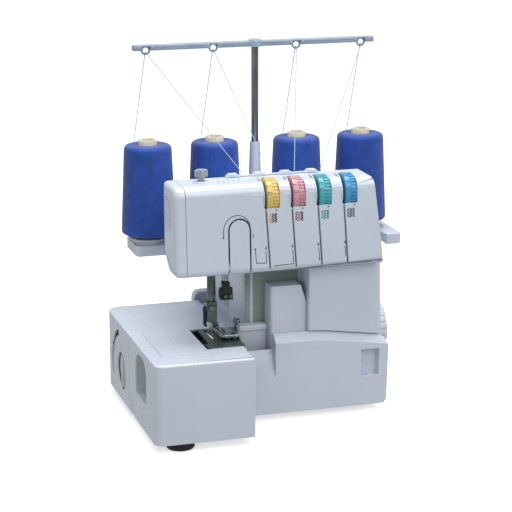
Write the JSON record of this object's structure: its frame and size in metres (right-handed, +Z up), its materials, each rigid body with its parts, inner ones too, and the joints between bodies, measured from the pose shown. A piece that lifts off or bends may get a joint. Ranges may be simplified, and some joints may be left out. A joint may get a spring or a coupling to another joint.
{
  "type": "serger overlock machine",
  "caption": "Compact domestic overlock sewing machine with thread cones on a rear stand, a thread tree, colour-coded tension dials, a needle and looper area, and a tipping front cover.",
  "frame": {"origin": "on the table, under the middle of the machine's bounding box", "axes": "+X towards the operator's right (handwheel side), +Y to the rear (thread cones), +Z up"},
  "size_m": [0.341, 0.282, 0.3775],
  "materials": {
    "bar_grey": "satin blue-grey",
    "belt_rubber": "toothless black belt",
    "black_plastic": "matt black",
    "cast_alloy": "rough casting",
    "dark_metal": "dark bluish green metal",
    "dial_1": "yellow-orange",
    "dial_2": "dusty pink",
    "dial_3": "teal",
    "dial_4": "mid blue",
    "knob_white": "satin white",
    "loose_thread": "single thread",
    "panel_white": "satin white",
    "pole_chrome": "polished",
    "rubber": "matt black rubber",
    "screw_grey": "grey-green",
    "shell_white": "glossy, slightly bluish white",
    "steel": "bright machined steel",
    "wound_thread": "wound polyester thread, royal blue, on a cream core"
  },
  "bodies": {
    "machine": {"bed_casing": "shell_white", "column_casing": "shell_white", "inner_panel": "panel_white", "chute_ledge": "panel_white", "rear_cover": "shell_white", "bottom_plate": "black_plastic", "foot_front_left": "rubber", "foot_front_right": "rubber", "foot_rear_left": "rubber", "foot_rear_right": "rubber", "head_casing": "shell_white", "face_cover": "shell_white", "take_up_tongue": "shell_white", "thread_guide_rail": "shell_white", "needle_plate": "dark_metal", "chassis": "cast_alloy", "motor": "cast_alloy", "drive_belt": "belt_rubber", "power_inlet": "black_plastic", "spool_stand": "panel_white", "pole_socket": "panel_white", "thread_1": "loose_thread", "thread_2": "loose_thread", "thread_3": "loose_thread", "thread_4": "loose_thread"},
    "extension": {"bed_extension": "shell_white", "foot_extension": "rubber"},
    "latch": {"extension_latch": "knob_white"},
    "width_dial": {"stitch_width_dial": "knob_white"},
    "length_dial": {"stitch_length_dial": "knob_white"},
    "feed_lever": {"feed_lever": "knob_white"},
    "cover_rod": {"cover_hinge_rod": "steel"},
    "cover": {"front_cover": "shell_white"},
    "drive": {"main_shaft": "steel", "handwheel": "panel_white"},
    "motor_pulley": {"motor_pulley": "steel"},
    "needle_carrier": {"needle_bar": "steel", "needle_clamp": "black_plastic", "needle_left": "steel", "needle_right": "steel"},
    "presser": {"presser_bar": "steel", "presser_ankle": "dark_metal"},
    "foot": {"presser_foot": "steel"},
    "lifter": {"presser_lifter": "black_plastic"},
    "pressure_screw": {"pressure_screw": "screw_grey"},
    "dial_1": {"tension_dial_1": "dial_1"},
    "dial_2": {"tension_dial_2": "dial_2"},
    "dial_3": {"tension_dial_3": "dial_3"},
    "dial_4": {"tension_dial_4": "dial_4"},
    "lower_looper": {"lower_looper": "steel"},
    "upper_looper": {"upper_looper": "steel"},
    "upper_knife": {"upper_knife": "dark_metal"},
    "feed_dog": {"feed_dog": "steel"},
    "power_switch": {"power_switch": "black_plastic"},
    "thread_tree": {"upper_pole": "pole_chrome", "thread_bar": "bar_grey"},
    "cone_1": {"thread_cone_1": "wound_thread"},
    "cone_2": {"thread_cone_2": "wound_thread"},
    "cone_3": {"thread_cone_3": "wound_thread"},
    "cone_4": {"thread_cone_4": "wound_thread"}
  },
  "joints": [
    {"name": "extension_pull_off", "type": "slide", "parent": "machine", "child": "extension", "axis": [-1, 0, 0], "range_m": [0, 0.12]},
    {"name": "latch_push", "type": "slide", "parent": "extension", "child": "latch", "axis": [1, 0, 0], "range_m": [0, 0.002], "stiffness_N_per_m": 400},
    {"name": "width_dial_turn", "type": "hinge", "parent": "machine", "child": "width_dial", "pos_m": [-0.153, -0.078, 0.059], "axis": [1, 0, 0], "range_deg": [-60, 60]},
    {"name": "length_dial_turn", "type": "hinge", "parent": "machine", "child": "length_dial", "pos_m": [-0.16, 0.012, 0.041], "axis": [1, 0, 0], "range_deg": [-135, 135]},
    {"name": "feed_lever_turn", "type": "hinge", "parent": "machine", "child": "feed_lever", "pos_m": [-0.154, 0.012, 0.041], "axis": [1, 0, 0], "range_deg": [-36, 46]},
    {"name": "cover_slide", "type": "slide", "parent": "machine", "child": "cover_rod", "axis": [1, 0, 0], "range_m": [0, 0.004]},
    {"name": "cover_tip", "type": "hinge", "parent": "cover_rod", "child": "cover", "pos_m": [0.02, -0.0661, 0.0163], "axis": [1, 0, 0], "range_deg": [0, 75]},
    {"name": "handwheel_turn", "type": "hinge", "parent": "machine", "child": "drive", "pos_m": [0.112, 0.008, 0.068], "axis": [1, 0, 0], "continuous": true},
    {"name": "motor_pulley_turn", "type": "hinge", "parent": "machine", "child": "motor_pulley", "pos_m": [0.086, 0.05, 0.044], "axis": [1, 0, 0], "continuous": true},
    {"name": "needle_stroke", "type": "slide", "parent": "machine", "child": "needle_carrier", "axis": [0, 0.1736, 0.9848], "range_m": [-0.025, 0]},
    {"name": "presser_rise", "type": "slide", "parent": "machine", "child": "presser", "axis": [0, 0, 1], "range_m": [0, 0.006]},
    {"name": "foot_tilt", "type": "hinge", "parent": "presser", "child": "foot", "pos_m": [-0.082, -0.05, 0.102], "axis": [1, 0, 0], "range_deg": [-2, 1]},
    {"name": "lifter_turn", "type": "hinge", "parent": "machine", "child": "lifter", "pos_m": [-0.108, -0.044, 0.199], "axis": [1, 0, 0], "range_deg": [0, 35]},
    {"name": "pressure_turn", "type": "hinge", "parent": "machine", "child": "pressure_screw", "pos_m": [-0.097, -0.06, 0.265], "axis": [0, 0, 1], "range_deg": [-360, 360]},
    {"name": "tension_1_turn", "type": "hinge", "parent": "machine", "child": "dial_1", "pos_m": [-0.0283, -0.0686, 0.2411], "axis": [1, 0, 0], "range_deg": [-135, 135]},
    {"name": "tension_2_turn", "type": "hinge", "parent": "machine", "child": "dial_2", "pos_m": [-0.0003, -0.0686, 0.2411], "axis": [1, 0, 0], "range_deg": [-135, 135]},
    {"name": "tension_3_turn", "type": "hinge", "parent": "machine", "child": "dial_3", "pos_m": [0.0277, -0.0686, 0.2411], "axis": [1, 0, 0], "range_deg": [-135, 135]},
    {"name": "tension_4_turn", "type": "hinge", "parent": "machine", "child": "dial_4", "pos_m": [0.0557, -0.0686, 0.2411], "axis": [1, 0, 0], "range_deg": [-135, 135]},
    {"name": "lower_looper_rock", "type": "hinge", "parent": "machine", "child": "lower_looper", "pos_m": [-0.015, -0.061, 0.0443], "axis": [0, 1, 0], "range_deg": [-8, 12]},
    {"name": "upper_looper_rock", "type": "hinge", "parent": "machine", "child": "upper_looper", "pos_m": [-0.015, -0.049, 0.0583], "axis": [0, 1, 0], "range_deg": [-8, 6]},
    {"name": "knife_rock", "type": "hinge", "parent": "machine", "child": "upper_knife", "pos_m": [-0.056, -0.049, 0.1045], "axis": [1, 0, 0], "range_deg": [-10, 3]},
    {"name": "feed_travel", "type": "slide", "parent": "machine", "child": "feed_dog", "axis": [0, 1, 0], "range_m": [-0.002, 0.002]},
    {"name": "power_switch_rock", "type": "hinge", "parent": "machine", "child": "power_switch", "pos_m": [0.0955, 0.059, 0.0483], "axis": [0, 0, 1], "range_deg": [-5, 5]},
    {"name": "tree_slide", "type": "slide", "parent": "machine", "child": "thread_tree", "axis": [0, 0, 1], "range_m": [-0.085, 0], "deforming": ["thread_1", "thread_2", "thread_3", "thread_4"]},
    {"name": "cone_1_turn", "type": "hinge", "parent": "machine", "child": "cone_1", "pos_m": [-0.1123, 0.1063, 0.22], "axis": [0, 0, 1], "continuous": true},
    {"name": "cone_2_turn", "type": "hinge", "parent": "machine", "child": "cone_2", "pos_m": [-0.0361, 0.1063, 0.22], "axis": [0, 0, 1], "continuous": true},
    {"name": "cone_3_turn", "type": "hinge", "parent": "machine", "child": "cone_3", "pos_m": [0.0595, 0.1063, 0.22], "axis": [0, 0, 1], "continuous": true},
    {"name": "cone_4_turn", "type": "hinge", "parent": "machine", "child": "cone_4", "pos_m": [0.1357, 0.1063, 0.22], "axis": [0, 0, 1], "continuous": true}
  ],
  "couplings": [
    {"joint": "motor_pulley_turn", "follows": "handwheel_turn", "ratio": 2.75},
    {"joint": "lifter_turn", "follows": "presser_rise", "rad_per_m": 101.8}
  ]
}
